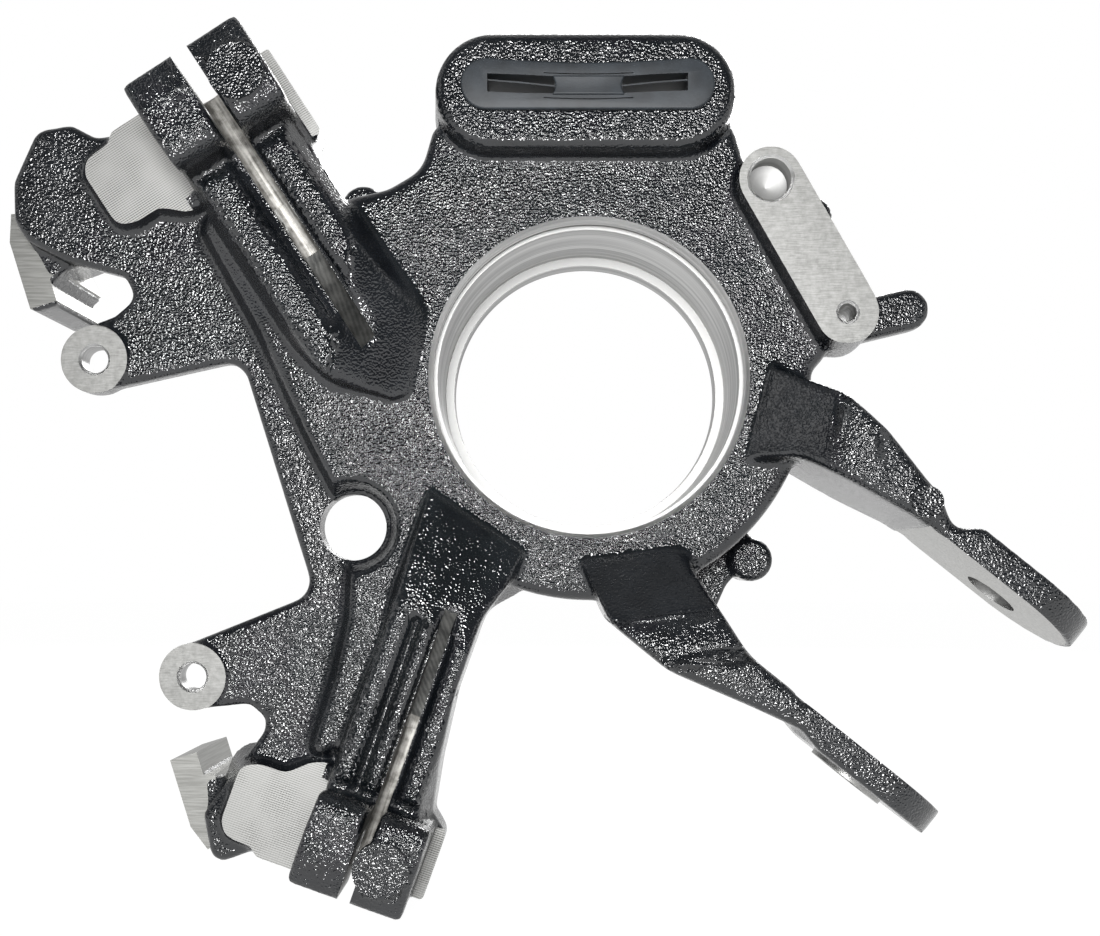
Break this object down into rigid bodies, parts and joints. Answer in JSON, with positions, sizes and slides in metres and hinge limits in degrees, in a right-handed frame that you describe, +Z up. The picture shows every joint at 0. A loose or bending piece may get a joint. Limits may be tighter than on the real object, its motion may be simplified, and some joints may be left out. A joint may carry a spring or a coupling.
{
  "type": "steering knuckle",
  "caption": "Cast iron steering knuckle with a bearing hub, slotted clamp arms, a caliper plate with pad rails, a bush fork, a sensor pad and a rubber slot grommet.",
  "frame": {"origin": "centre of the bearing seat on its axis", "axes": "-Y along the bore axis towards inboard, +Z up, +X from the caliper side towards the fork"},
  "size_m": [0.3015, 0.0898, 0.2388],
  "materials": {
    "coated_iron": "gloss black coat on rough casting, bright milled and bored faces",
    "rubber": "satin"
  },
  "bodies": {
    "root": {"knuckle_casting": "coated_iron", "slot_grommet": "rubber"}
  },
  "joints": []
}
